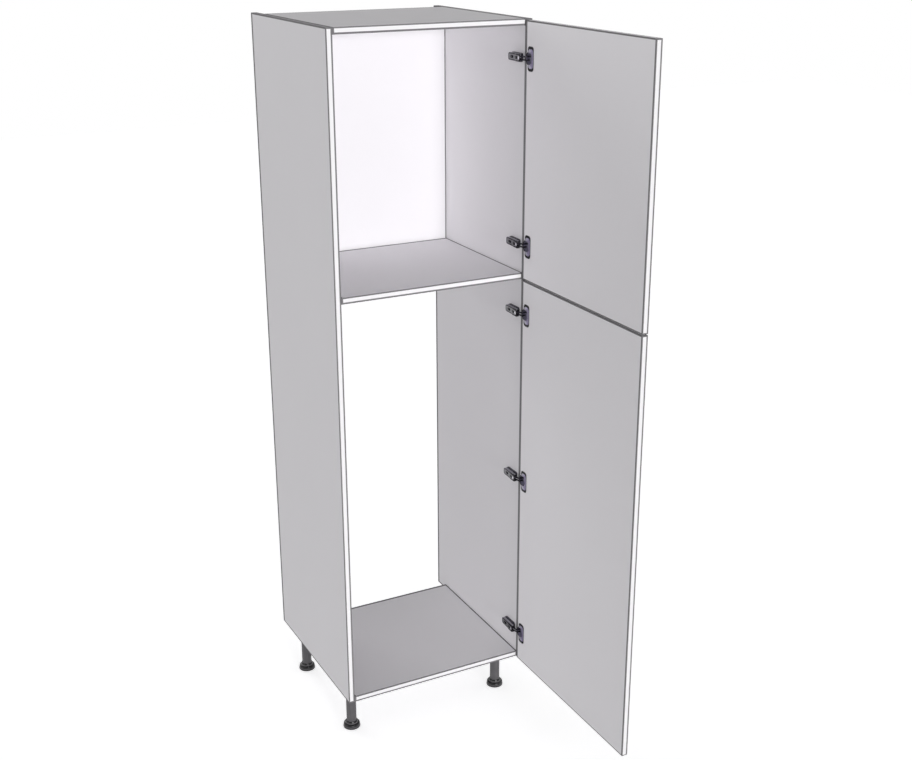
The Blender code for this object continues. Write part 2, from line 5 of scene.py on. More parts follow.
import bmesh
import bpy
from mathutils import Euler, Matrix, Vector


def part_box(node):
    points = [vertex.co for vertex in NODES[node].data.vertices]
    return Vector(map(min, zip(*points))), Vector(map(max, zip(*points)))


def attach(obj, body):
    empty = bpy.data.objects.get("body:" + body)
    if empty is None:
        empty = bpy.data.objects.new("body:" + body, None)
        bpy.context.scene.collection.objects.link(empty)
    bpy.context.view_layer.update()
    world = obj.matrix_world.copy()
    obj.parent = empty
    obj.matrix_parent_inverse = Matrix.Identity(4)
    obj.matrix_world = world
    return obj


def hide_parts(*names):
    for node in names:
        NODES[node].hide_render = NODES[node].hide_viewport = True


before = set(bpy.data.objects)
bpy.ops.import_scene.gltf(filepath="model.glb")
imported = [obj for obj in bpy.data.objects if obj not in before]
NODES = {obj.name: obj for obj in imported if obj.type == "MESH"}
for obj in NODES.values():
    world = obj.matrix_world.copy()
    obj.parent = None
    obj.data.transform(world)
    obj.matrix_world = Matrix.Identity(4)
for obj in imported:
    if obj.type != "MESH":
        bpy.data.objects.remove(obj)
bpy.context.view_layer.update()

# The unit's pieces
DOORS = ("upper_door", "lower_door")
SIDES = ("left_side_panel", "right_side_panel")
HINGES = {
    "upper": ("upper_bottom_hinge", "upper_top_hinge"),
    "lower": ("lower_bottom_hinge", "lower_middle_hinge", "lower_top_hinge"),
}
LEGS = ("front_left_leg", "front_right_leg", "rear_left_leg", "rear_right_leg")

# Camera, fitted to the edges of the unit in the photograph: metres, degrees, millimetres of lens
CAMERA_PLACE = (-1.586, -3.1589, 2.4093)
CAMERA_TURN = (69.7131, 0.1041, -27.598)
CAMERA_LENS = 52.2231
CAMERA_SHIFT = (-0.0030, 0.0141)

# Light levels, where 1 shows a colour as it is written: heading, level, softness in degrees, casts shadows
AMBIENT = 0.24
BACKGROUND = 1.0
LAMPS = {
    "front_lamp": ((0.04, 1, -0.06), 0.735, 10, True),
    "left_fill": ((1, 0, 0), 0.155, 8, False),
    "left_lamp": ((1, 0.05, -0.05), 0.05, 30, True),
    "right_lamp": ((-1, 0.1, -0.05), 0.22, 40, True),
    "rear_lamp": ((0.3, -1, -0.36), 0.27, 40, True),
    "top_lamp": ((0.1, 0.45, -1), 0.060, 60, True),
    "base_fill": ((0, 0, 1), 0.06, 8, False),
}

# Floor, a hair under the feet; its lift is a glow that lights nothing
FLOOR_SIZE = 24
FLOOR_SEGMENTS = 12
FLOOR_DROP = 0.0004
FLOOR_COLOR = (0.80, 0.80, 0.81)
FLOOR_DARK_SHARE = 0.99
FLOOR_GRAIN = 30
FLOOR_ROUGHNESS = 0.8
FLOOR_SHINE = 0.1
FLOOR_LIFT = 0.66

# Noise: the middle part of its range that is used, and its layers
NOISE_LOW = 0.3
NOISE_HIGH = 0.7
SOFT_DETAIL = 2
FINE_DETAIL = 3

# Faced boards: colour, grains per metre, roughness; then how the grain and wide clouds change them
BOARD_FINISH = ((0.830, 0.815, 0.838), 1100, 0.62)
# The doors' colour is the boards' white made lighter, painted light that evens their shading with the
# carcass; their finer grain and lower roughness are their own
DOOR_FINISH_PAINTED_LIGHTER = ((0.866, 0.851, 0.874), 700, 0.55)
BOARD_SHINE = 0.06
BOARD_DARK_SHARE = 0.985
BOARD_LIGHT_SHARE = 1.012
CLOUD_GRAIN = 3
CLOUD_COVER = 0.5
BOARD_ROUGH_CHANGE = (0.05, 0.06)
BOARD_RELIEF = (0.10, 0.0002)

# Edging of the boards, which starts under the skin of their broad faces, and the grey top of the sides
EDGING_COLOR = (0.865, 0.855, 0.870)
TOP_EDGE_COLOR = (0.310, 0.302, 0.315)
SKIN = 0.0002
SKIN_BASE = 0.0004

# Line along the boards' edges: colour, and the share of its width that is solid
LINE_COLOR = (0.195, 0.190, 0.198)
LINE_SOLID = 0.85

# Widths of the line at each board's low X, Y and Z sides, then at its high ones
LEVEL_LINES = ((0.0055, 0.0030, 0.0054), (0.0055, 0.0100, 0.0032))
DOOR_LINES = ((0.0030, 0.0045, 0.0040), (0.0050, 0.0080, 0.0040))
BOARD_LINES = {
    "left_side_panel": ((0.0030, 0.0030, 0.0055), (0.0050, 0.0120, 0.0040)),
    "right_side_panel": ((0.0036, 0.0075, 0.0055), (0.0036, 0.0100, 0.0040)),
    "niche_back_panel": ((0.0035, 0.0030, 0.0035), (0.0035, 0.0030, 0.0035)),
    "bottom_panel": LEVEL_LINES,
    "fixed_shelf": LEVEL_LINES,
    "top_panel": LEVEL_LINES,
    "upper_door": DOOR_LINES,
    "lower_door": DOOR_LINES,
}

# Metals: colour and roughness; then their grain, their darker patches and the relief of the grain
METALS = {
    "link_steel": ((0.040, 0.038, 0.048), 0.40),
    "pin_steel": ((0.220, 0.215, 0.240), 0.28),
    "plate_steel": ((0.085, 0.082, 0.100), 0.40),
    # Screw steel is near black as painted shade, so the heads read as dark holes in their slots
    "screw_steel": ((0.014, 0.014, 0.018), 0.40),
    "flange_screw_steel": ((0.420, 0.390, 0.520), 0.32),
}
METAL_GRAIN = 900
METAL_CONTRAST = 0.25
METAL_PATCHES = 60
METAL_PATCH_COVER = 0.6
METAL_PATCH_SHARE = 0.82
METAL_ROUGH_CHANGE = (0.08, 0.10)
METAL_RELIEF = (0.12, 0.0001)

# Plastics: colour and roughness; then their grain, their scuffed patches and the relief of the grain
PLASTICS = {
    "socket_plastic": ((0.040, 0.038, 0.043), 0.50),
    "tube_plastic": ((0.074, 0.071, 0.076), 0.48),
}
PLASTIC_GRAIN = 1400
PLASTIC_PATCHES = 45
PLASTIC_DARK_SHARE = 0.90
PLASTIC_LIGHT_SHARE = 1.15
PLASTIC_ROUGH_CHANGE = (0.06, 0.10)
PLASTIC_RELIEF = (0.25, 0.0002)

# The looks of each hinge's and each leg's nodes
HINGE_LOOKS = {
    "cup": "cup_nickel",
    "outer_cup_pin": "pin_steel",
    "inner_cup_pin": "pin_steel",
    "outer_link": "link_steel",
    "inner_link": "link_steel",
    "arm": "arm_steel",
    "arm_staple": "pin_steel",
    "mounting_plate": "plate_steel",
}
LEG_LOOKS = {"socket": "socket_plastic", "tube": "tube_plastic", "foot": "foot_plastic"}

# Paint on the hinges: the width of its soft edge, and a half depth that reaches through any piece
PAINT_EDGE = 0.0005
ANY_DEPTH = 1.0

# Arms: a dark rim round a lighter field, a painted highlight on the nose, two slots painted as dark shade,
# and flanks painted lighter as a painted sheen
ARM_ROUGHNESS = 0.36
ARM_STRETCH = (1, 0.15, 1)
FIELD_COLOR = (0.200, 0.197, 0.210)
FIELD_ROUND = 0.004
RIM_COLOR = (0.014, 0.013, 0.017)
ARM_RIM = 0.0028
NOSE_HIGHLIGHT_COLOR = (0.640, 0.630, 0.670)
NOSE_HIGHLIGHT_SETBACK = 0.0062
NOSE_HIGHLIGHT_LENGTH = 0.0085
NOSE_HIGHLIGHT_HEIGHT = 0.0085
SLOT_SHADE_COLOR = (0.006, 0.006, 0.008)
SLOT_SHIFT = 0.0030
SLOT_LENGTH = 0.0175
SLOT_HEIGHT = 0.0088
FLANK_SHEEN_COLOR = (0.300, 0.290, 0.330)
FLANK_START = 0.0032
FLANK_END = 0.0116
FLANK_SETBACK = 0.0040

# Cups: a painted highlight strip on a purple-grey flange with dark ends, a dark disc beside it, and a well
# painted lighter than the flange as painted light against its shade
CUP_ROUGHNESS = 0.34
CUP_METALLIC = 0.3
CUP_SHINE = 0.15
FLANGE_COLOR = (0.260, 0.230, 0.350)
FLANGE_WIDTH = 0.030
FLANGE_RIM = 0.0010
FLANGE_END = 0.0070
FLANGE_END_ROUND = 0.010
END_COLOR = (0.004, 0.0035, 0.006)
STRIP_HIGHLIGHT_COLOR = (0.420, 0.405, 0.480)
STRIP_START = 0.017
DISC_COLOR = (0.040, 0.037, 0.048)
WELL_PAINTED_LIGHT_COLOR = (0.400, 0.380, 0.480)
FACE_DEPTH = 0.0016

# Feet: black, with painted highlight bands given by their heights over the floor and their grey
FOOT_COLOR = (0.0045, 0.0043, 0.005)
FOOT_ROUGHNESS = 0.30
FOOT_SHINE = 0.30
HIGHLIGHT_BAND_FADE = 0.0015
FOOT_HIGHLIGHT_BANDS = (
    (0.0025, 0.0095, (0.060, 0.058, 0.062)),
    (0.0150, 0.0190, (0.110, 0.106, 0.114)),
)

# Turned pieces: steps round a leg and a screw, angle of a sharp edge, distance of points that are one
LEG_STEPS = 72
SCREW_STEPS = 28
SHARP_EDGE_DEGREES = 32
MERGE = 1e-6

# Screws: radius and height of the head, countersunk or not, radius and length of the shank
SCREWS = {
    "adjusting_screw": (0.0026, 0.0008, False, 0.0020, 0.0125),
    "fixing_screw": (0.0037, 0.0017, False, 0.0021, 0.0075),
    "wood_screw": (0.0036, 0.0010, True, 0.0015, 0.0100),
    "plate_screw": (0.0034, 0.0010, True, 0.0018, 0.0100),
    "socket_screw": (0.0021, 0.0008, False, 0.0012, 0.0100),
}

# Shape of a screw: its domed head's rim as a share of the crown, and the countersink's depth for its width
DOME_STEPS = 5
DOME_RIM_SHARE = 0.45
COUNTERSINK_SHARE = 0.8

# Blades that cut the cross recess: shares of the head's width, radius and height, and their narrower foot
BLADE_LENGTH_SHARE = 0.62
BLADE_WIDTH_SHARE = 0.26
BLADE_HEIGHT_SHARE = 1.7
BLADE_FLOOR_SHARES = (0.45, 0.6)
RECESS_TURN = math.pi / 8

# Screws of a hinge's arm and plate: setbacks from the carcass front, and seats in from the arm's web
ARM_SETBACK = 0.0008
FRONT_SCREW_SETBACK = 0.0180
REAR_SCREW_SETBACK = 0.0450
PLATE_SCREW_SETBACKS = (0.030, 0.062)
ADJUSTING_SEAT = 0.0004
FIXING_SEAT = 0.0024
HEAD_LEFT = (0, -math.pi / 2, 0)

# Flange screws: seat in from the flange's face, places from the cup's far side, axis and middle height
FLANGE_SEAT = 0.0001
CUP_AXIS_SETBACK = 0.0182
FLANGE_SCREW_SHIFT = 0.0095
FLANGE_SCREW_RISES = (-0.0225, 0.0225)

# Screws under each leg's socket flange
SOCKET_FLANGE = 0.003
SOCKET_SCREWS = 3
SOCKET_SCREW_RING = 0.0208
HEAD_DOWN = (math.pi, 0, 0)

# Legs, turned smooth inside the outlines of their solids: heights over the floor, radii and rounds
UPRIGHT = (0, 0, 0)
TUBE_CHAMFER = 0.0006
COLLAR_FIT = 0.0005
COLLAR_TOP = 0.0228
COLLAR_RADIUS = 0.0176
COLLAR_ROUND = 0.0008
COLLAR_FLARE = 0.0014
NECK_TOP = 0.0182
NECK_ROUND = 0.0025
DOME_TOP = 0.0152
SHOULDER_ROUND = 0.0040
SHOULDER_DEGREES = (80, 10)
RIM_DRAFT = 0.0014
RIM_FOOT = 0.0020
SOLE_ROUND = 0.0014


def node(tree, kind, inputs=None, **settings):
    """A shader node; each input is a plain value, or the output that feeds it."""
    made = tree.nodes.new("ShaderNode" + kind)
    for name, value in settings.items():
        setattr(made, name, value)
    for name, value in (inputs or {}).items():
        if isinstance(value, bpy.types.NodeSocket):
            tree.links.new(value, made.inputs[name])
        else:
            made.inputs[name].default_value = value
    return made


def calc(tree, operation, first, second):
    """One step of arithmetic on two numbers."""
    return node(tree, "Math", {0: first, 1: second}, operation=operation).outputs[0]


def calc_vector(tree, operation, first, second=(0, 0, 0)):
    """One step of arithmetic on one vector or two."""
    return node(tree, "VectorMath", {0: first, 1: second}, operation=operation).outputs[0]


def measured(tree, operation, first, second=(0, 0, 0)):
    """A number taken from one vector or two."""
    return node(tree, "VectorMath", {0: first, 1: second}, operation=operation).outputs["Value"]


def object_place(tree):
    """The point in the object's own metres."""
    return node(tree, "TexCoord").outputs["Object"]


def split(tree, place):
    """The X, Y and Z of a vector."""
    return node(tree, "SeparateXYZ", {0: place}).outputs


def noise(tree, scale, detail, stretch=None):
    """A noise value over the object's own coordinates, if wanted stretched along some axes."""
    place = object_place(tree)
    if stretch:
        place = node(tree, "Mapping", {"Vector": place, "Scale": stretch}).outputs[0]
    return node(tree, "TexNoise", {"Vector": place, "Scale": scale, "Detail": detail}).outputs["Fac"]


def spread(tree, value, low, high, start=NOISE_LOW, end=NOISE_HIGH):
    """A value's range from start to end made a range from low to high, and held at its ends."""
    ranges = {"From Min": start, "From Max": end, "To Min": low, "To Max": high}
    return node(tree, "MapRange", {"Value": value, **ranges}).outputs[0]


def between(tree, value, start, end, fade):
    """1 where a value lies between start and end, faded in and out inside them."""
    above = spread(tree, value, 0.0, 1.0, start, start + fade)
    below = spread(tree, value, 1.0, 0.0, end - fade, end)
    return calc(tree, "MULTIPLY", above, below)


def mix_color(tree, factor, first, second):
    """The first colour where the factor is 0, the second where it is 1: sockets 6 and 7 of a Mix node."""
    made = node(tree, "Mix", data_type="RGBA")
    for socket, value in ((made.inputs[0], factor), (made.inputs[6], first), (made.inputs[7], second)):
        if isinstance(value, bpy.types.NodeSocket):
            tree.links.new(value, socket)
        else:
            socket.default_value = (*value, 1)
    return made.outputs[2]


def shaded(color, share):
    """A colour made darker or lighter by a share."""
    return tuple(channel * share for channel in color)


def edge_group():
    """How far a point on a box is from its nearest arris, and how deep it is under the board's broad faces.

    The first is the middle one of the three distances to the box's faces, each divided by its line's width.
    """
    tree = bpy.data.node_groups.new("arris_distance", "ShaderNodeTree")
    for name in ("Low", "High", "Low lines", "High lines", "Thin side"):
        tree.interface.new_socket(name, in_out="INPUT", socket_type="NodeSocketVector")
    for name in ("Distance", "Depth"):
        tree.interface.new_socket(name, in_out="OUTPUT", socket_type="NodeSocketFloat")
    given = tree.nodes.new("NodeGroupInput").outputs
    place = object_place(tree)
    above = calc_vector(tree, "SUBTRACT", place, given["Low"])
    below = calc_vector(tree, "SUBTRACT", given["High"], place)
    near = calc_vector(tree, "MINIMUM", above, below)
    depth = measured(tree, "DOT_PRODUCT", near, given["Thin side"])
    above = calc_vector(tree, "DIVIDE", above, given["Low lines"])
    below = calc_vector(tree, "DIVIDE", below, given["High lines"])
    x, y, z = split(tree, calc_vector(tree, "MINIMUM", above, below))
    small = calc(tree, "MINIMUM", x, y)
    large = calc(tree, "MAXIMUM", x, y)
    middle = calc(tree, "MAXIMUM", small, calc(tree, "MINIMUM", large, z))
    result = tree.nodes.new("NodeGroupOutput")
    tree.links.new(middle, result.inputs["Distance"])
    tree.links.new(depth, result.inputs["Depth"])
    return tree


def blank_material(name):
    """A new material, its node tree and its shader."""
    look = bpy.data.materials.new(name)
    look.use_nodes = True
    return look, look.node_tree, look.node_tree.nodes["Principled BSDF"]


def surface(tree, shader, color, grain, rough_from, roughness, rough_change, relief):
    """Give a shader its colour, a roughness that varies with rough_from, and a bump from the grain.

    rough_change is how far the roughness falls and rises, and relief is the bump's strength and height.
    """
    less, more = rough_change
    strength, distance = relief
    bump = node(tree, "Bump", {"Strength": strength, "Distance": distance, "Height": grain})
    tree.links.new(color, shader.inputs["Base Color"])
    tree.links.new(spread(tree, rough_from, roughness - less, roughness + more), shader.inputs["Roughness"])
    tree.links.new(bump.outputs[0], shader.inputs["Normal"])


def board_material(name, color, grain, roughness):
    """A faced board: fine pearl grain, and a grey line where its edging meets its faces."""
    look, tree, shader = blank_material(name)
    low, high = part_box(name)
    size = high - low
    low_lines, high_lines = BOARD_LINES[name]
    thin_side = [1 if side == min(size) else 0 for side in size]
    given = {"Low": low, "High": high, "Thin side": thin_side}
    given.update({"Low lines": low_lines, "High lines": high_lines})
    arris = node(tree, "Group", given, node_tree=ARRIS).outputs
    line = spread(tree, arris["Distance"], 1.0, 0.0, LINE_SOLID, 1.0)
    edging = spread(tree, arris["Depth"], 0.0, 1.0, SKIN, SKIN_BASE)
    pearl = noise(tree, grain, FINE_DETAIL)
    cloud = noise(tree, CLOUD_GRAIN, SOFT_DETAIL)
    dark = shaded(color, BOARD_DARK_SHARE)
    ground = mix_color(tree, spread(tree, pearl, 0.0, 1.0), dark, shaded(color, BOARD_LIGHT_SHARE))
    ground = mix_color(tree, spread(tree, cloud, 0.0, CLOUD_COVER), ground, dark)
    ground = mix_color(tree, edging, ground, EDGING_COLOR)
    if name in SIDES:
        rise = split(tree, object_place(tree))[2]
        top = spread(tree, rise, 0.0, 1.0, high.z - SKIN_BASE, high.z - SKIN)
        ground = mix_color(tree, top, ground, TOP_EDGE_COLOR)
    colored = mix_color(tree, line, ground, LINE_COLOR)
    surface(tree, shader, colored, pearl, pearl, roughness, BOARD_ROUGH_CHANGE, BOARD_RELIEF)
    shader.inputs["Specular IOR Level"].default_value = BOARD_SHINE
    return look


def metal_material(name, color, roughness, stretch=None):
    """Plated sheet steel with a faint rolled grain."""
    look, tree, shader = blank_material(name)
    grain = noise(tree, METAL_GRAIN, FINE_DETAIL, stretch)
    patch = noise(tree, METAL_PATCHES, SOFT_DETAIL)
    dark = shaded(color, 1 - METAL_CONTRAST)
    tone = mix_color(tree, spread(tree, grain, 0.0, 1.0), dark, shaded(color, 1 + METAL_CONTRAST))
    covered = spread(tree, patch, 0.0, METAL_PATCH_COVER)
    tone = mix_color(tree, covered, tone, shaded(color, METAL_PATCH_SHARE))
    surface(tree, shader, tone, grain, grain, roughness, METAL_ROUGH_CHANGE, METAL_RELIEF)
    shader.inputs["Metallic"].default_value = 1.0
    return look


def plastic_material(name, color, roughness):
    """Moulded plastic with a fine spark-eroded grain and slightly scuffed patches."""
    look, tree, shader = blank_material(name)
    grain = noise(tree, PLASTIC_GRAIN, SOFT_DETAIL)
    patch = noise(tree, PLASTIC_PATCHES, FINE_DETAIL)
    dark = shaded(color, PLASTIC_DARK_SHARE)
    tone = mix_color(tree, spread(tree, patch, 0.0, 1.0), dark, shaded(color, PLASTIC_LIGHT_SHARE))
    surface(tree, shader, tone, grain, patch, roughness, PLASTIC_ROUGH_CHANGE, PLASTIC_RELIEF)
    return look


def own_place(tree, name):
    """Metres from the lowest corner of the object's own box, for pieces made like the named node."""
    low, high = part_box(name)
    return calc_vector(tree, "MULTIPLY", node(tree, "TexCoord").outputs["Generated"], high - low)


def outside(tree, place, middle, half, rounding):
    """0 inside a rounded box about the middle, 1 outside it."""
    core = [side - rounding for side in half]
    off = calc_vector(tree, "ABSOLUTE", calc_vector(tree, "SUBTRACT", place, middle))
    off = calc_vector(tree, "MAXIMUM", calc_vector(tree, "SUBTRACT", off, core))
    reach = measured(tree, "LENGTH", off)
    return spread(tree, reach, 0.0, 1.0, rounding - PAINT_EDGE, rounding)


def inside(tree, place, middle, half, rounding):
    """1 inside a rounded box about the middle, 0 outside it."""
    return calc(tree, "SUBTRACT", 1.0, outside(tree, place, middle, half, rounding))


def paint(look, covered, color):
    """Another colour where covered is 1."""
    tree = look.node_tree
    socket = tree.nodes["Principled BSDF"].inputs["Base Color"]
    under = socket.links[0].from_socket
    tree.links.new(mix_color(tree, covered, under, color), socket)


def arm_material():
    """Dark pressed steel with a lighter field on the web, two slots painted on it as dark shade, a painted
    highlight on the nose, and lighter flanks as a painted sheen.
    """
    look = metal_material("arm_steel", FIELD_COLOR, ARM_ROUGHNESS, ARM_STRETCH)
    tree = look.node_tree
    low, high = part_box("upper_top_hinge_arm")
    place = own_place(tree, "upper_top_hinge_arm")
    length = high.y - low.y
    rise = high.z - low.z
    # Painted highlight: a bright patch on the arm's nose
    bright = (ANY_DEPTH, NOSE_HIGHLIGHT_LENGTH / 2, NOSE_HIGHLIGHT_HEIGHT / 2)
    patch = inside(tree, place, (0, NOSE_HIGHLIGHT_SETBACK, rise / 2), bright, NOSE_HIGHLIGHT_HEIGHT / 2)
    paint(look, patch, NOSE_HIGHLIGHT_COLOR)
    # Painted shade: dark slots round both screws, standing for the shade inside slot holes
    slot = (ANY_DEPTH, SLOT_LENGTH / 2, SLOT_HEIGHT / 2)
    for setback in (FRONT_SCREW_SETBACK, REAR_SCREW_SETBACK):
        middle = (0, setback - ARM_SETBACK + SLOT_SHIFT, rise / 2)
        paint(look, inside(tree, place, middle, slot, SLOT_HEIGHT / 2), SLOT_SHADE_COLOR)
    field = (ANY_DEPTH, length / 2 - ARM_RIM, rise / 2 - ARM_RIM)
    paint(look, outside(tree, place, (0, length / 2, rise / 2), field, FIELD_ROUND), RIM_COLOR)
    # Painted sheen: the arm's flanks painted lighter than its web
    depth, along, _ = split(tree, place)
    across_flank = between(tree, depth, FLANK_START, FLANK_END, PAINT_EDGE)
    along_flank = between(tree, along, FLANK_SETBACK, length - FLANK_SETBACK, PAINT_EDGE)
    paint(look, calc(tree, "MULTIPLY", across_flank, along_flank), FLANK_SHEEN_COLOR)
    return look


def cup_material():
    """Purple-grey nickel, with a painted highlight strip along the flange, dark ends, and an inside painted
    lighter than the flange as painted light against its shade.
    """
    look = metal_material("cup_nickel", FLANGE_COLOR, CUP_ROUGHNESS)
    tree = look.node_tree
    shader = tree.nodes["Principled BSDF"]
    shader.inputs["Metallic"].default_value = CUP_METALLIC
    shader.inputs["Specular IOR Level"].default_value = CUP_SHINE
    low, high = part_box("upper_top_hinge_cup")
    rise = high.z - low.z
    place = own_place(tree, "upper_top_hinge_cup")
    depth, across, _ = split(tree, place)
    # Painted highlight: a lighter strip across the flange from STRIP_START on
    paint(look, spread(tree, across, 0.0, 1.0, STRIP_START - PAINT_EDGE, STRIP_START), STRIP_HIGHLIGHT_COLOR)
    inner = (ANY_DEPTH, FLANGE_WIDTH / 2 - FLANGE_RIM, rise / 2 - FLANGE_END)
    paint(look, outside(tree, place, (0, FLANGE_WIDTH / 2, rise / 2), inner, FLANGE_END_ROUND), END_COLOR)
    paint(look, spread(tree, across, 0.0, 1.0, FLANGE_WIDTH, FLANGE_WIDTH + PAINT_EDGE), DISC_COLOR)
    # Painted light: the inside of the cup painted lighter than the flange against its shade
    paint(look, spread(tree, depth, 0.0, 1.0, FACE_DEPTH, FACE_DEPTH + PAINT_EDGE), WELL_PAINTED_LIGHT_COLOR)
    return look


def foot_material():
    """Black plastic, with grey painted highlights on the rim's wall and where the dome meets the collar."""
    look = plastic_material("foot_plastic", FOOT_COLOR, FOOT_ROUGHNESS)
    tree = look.node_tree
    tree.nodes["Principled BSDF"].inputs["Specular IOR Level"].default_value = FOOT_SHINE
    rise = split(tree, object_place(tree))[2]
    # Painted highlights: grey bands at these heights over the floor
    for start, end, color in FOOT_HIGHLIGHT_BANDS:
        paint(look, between(tree, rise, start, end, HIGHLIGHT_BAND_FADE), color)
    return look


def dress(name, look):
    """Give a CAD node its look."""
    for slot in NODES[name].material_slots:
        slot.material = look


def dress_nodes():
    """Give every CAD node its look: a board its own, a hinge's and a leg's pieces those of their kind."""
    for name in BOARD_LINES:
        # The doors take a lighter copy of the boards' white, as painted light
        finish = DOOR_FINISH_PAINTED_LIGHTER if name in DOORS else BOARD_FINISH
        dress(name, board_material(name, *finish))
    for names in HINGES.values():
        for hinge in names:
            for part, look in HINGE_LOOKS.items():
                dress(f"{hinge}_{part}", LOOKS[look])
    for leg in LEGS:
        for part, look in LEG_LOOKS.items():
            dress(f"{leg}_{part}", LOOKS[look])


def linked(name, data):
    """A new object in the scene, of a mesh, a lamp or a camera."""
    made = bpy.data.objects.new(name, data)
    bpy.context.scene.collection.objects.link(made)
    return made


def piece(name, mesh, look, place, turn, body):
    """A piece of the visual model, which rides on a CAD body."""
    made = linked(name, mesh)
    mesh.materials.clear()
    mesh.materials.append(LOOKS[look])
    made.location = place
    made.rotation_euler = turn
    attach(made, body)
    return made


def smoothed(mesh):
    """The mesh shaded smooth, with its sharp corners kept sharp."""
    mesh.shade_smooth()
    mesh.set_sharp_from_angle(angle=math.radians(SHARP_EDGE_DEGREES))
    return mesh


def arc(middle, radius, start, end, steps):
    """Points of radius and height on an arc, its angles in degrees from the outward direction."""
    turns = [math.radians(start + (end - start) * step / steps) for step in range(steps + 1)]
    return [(middle[0] + radius * math.cos(turn), middle[1] + radius * math.sin(turn)) for turn in turns]


def turned(name, profile, steps):
    """A profile of radius and height turned about Z."""
    shape = bmesh.new()
    corners = [shape.verts.new((radius, 0, height)) for radius, height in profile]
    edges = [shape.edges.new(pair) for pair in zip(corners, corners[1:])]
    bmesh.ops.spin(shape, geom=corners + edges, axis=(0, 0, 1), steps=steps, angle=math.tau, use_merge=True)
    bmesh.ops.remove_doubles(shape, verts=shape.verts, dist=MERGE)
    bmesh.ops.recalc_face_normals(shape, faces=shape.faces)
    mesh = bpy.data.meshes.new(name)
    shape.to_mesh(mesh)
    shape.free()
    return smoothed(mesh)


def recess_blade(head_radius, head_height, turn):
    """One of the two crossed blades that cut a screw's recess, narrower at its bottom."""
    mesh = bpy.data.meshes.new("recess")
    shape = bmesh.new()
    bmesh.ops.create_cube(shape, size=1)
    length = head_radius * 2 * BLADE_LENGTH_SHARE
    size = (length, head_radius * BLADE_WIDTH_SHARE, head_height * BLADE_HEIGHT_SHARE)
    bmesh.ops.scale(shape, vec=size, verts=shape.verts)
    for corner in shape.verts:
        if corner.co.z < 0:
            corner.co.x *= BLADE_FLOOR_SHARES[0]
            corner.co.y *= BLADE_FLOOR_SHARES[1]
    shape.to_mesh(mesh)
    shape.free()
    blade = linked("recess", mesh)
    blade.location.z = head_height
    blade.rotation_euler.z = turn
    return blade


def applied(made):
    """The mesh of an object with its modifiers applied."""
    bpy.context.view_layer.update()
    graph = bpy.context.evaluated_depsgraph_get()
    return bpy.data.meshes.new_from_object(made.evaluated_get(graph), depsgraph=graph)


def screw_mesh(name, head_radius, head_height, countersunk, shank_radius, shank_length):
    """A screw head with a cross recess, its seat at Z zero and its head above it."""
    profile = [(0, head_height)]
    for step in range(1, DOME_STEPS + 1):
        turn = step / DOME_STEPS * math.pi / 2
        height = head_height * (DOME_RIM_SHARE + (1 - DOME_RIM_SHARE) * math.cos(turn))
        profile.append((head_radius * math.sin(turn), height))
    neck = -(head_radius - shank_radius) * COUNTERSINK_SHARE if countersunk else 0.0
    profile += [(head_radius, 0.0), (shank_radius, neck), (shank_radius, -shank_length), (0, -shank_length)]
    head = linked(name, turned(name, profile, SCREW_STEPS))
    blades = [recess_blade(head_radius, head_height, turn + RECESS_TURN) for turn in (0, math.pi / 2)]
    for blade in blades:
        modifier = head.modifiers.new("recess", "BOOLEAN")
        modifier.operation = "DIFFERENCE"
        modifier.solver = "EXACT"
        modifier.object = blade
    mesh = applied(head)
    for used in (head, *blades):
        bpy.data.objects.remove(used, do_unlink=True)
    mesh.name = name
    return smoothed(mesh)


def build_hinge_screws():
    """Each hinge's adjusting, fixing and plate screws on the carcass, and its flange screws on the door."""
    for row, names in HINGES.items():
        for hinge in names:
            arm_low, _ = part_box(f"{hinge}_arm")
            plate_low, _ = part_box(f"{hinge}_mounting_plate")
            cup_low, cup_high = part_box(f"{hinge}_cup")
            height = (cup_low.z + cup_high.z) / 2
            front = arm_low.y - ARM_SETBACK
            web = arm_low.x
            steel = [
                ("adjusting_screw", "adjusting_screw", web + ADJUSTING_SEAT, front + FRONT_SCREW_SETBACK),
                ("fixing_screw", "fixing_screw", web + FIXING_SEAT, front + REAR_SCREW_SETBACK),
            ]
            for number, setback in enumerate(PLATE_SCREW_SETBACKS, 1):
                steel.append((f"plate_screw_{number}", "plate_screw", plate_low.x, front + setback))
            for name, kind, x, y in steel:
                place = (x, y, height)
                mesh = SCREW_MESHES[kind]
                piece(f"{hinge}_{name}", mesh, "screw_steel", place, HEAD_LEFT, "carcass")
            x = cup_low.x + FLANGE_SEAT
            y = cup_high.y - CUP_AXIS_SETBACK - FLANGE_SCREW_SHIFT
            for number, rise in enumerate(FLANGE_SCREW_RISES, 1):
                name = f"{hinge}_flange_screw_{number}"
                place = (x, y, height + rise)
                mesh = SCREW_MESHES["wood_screw"]
                piece(name, mesh, "flange_screw_steel", place, HEAD_LEFT, f"{row}_door")


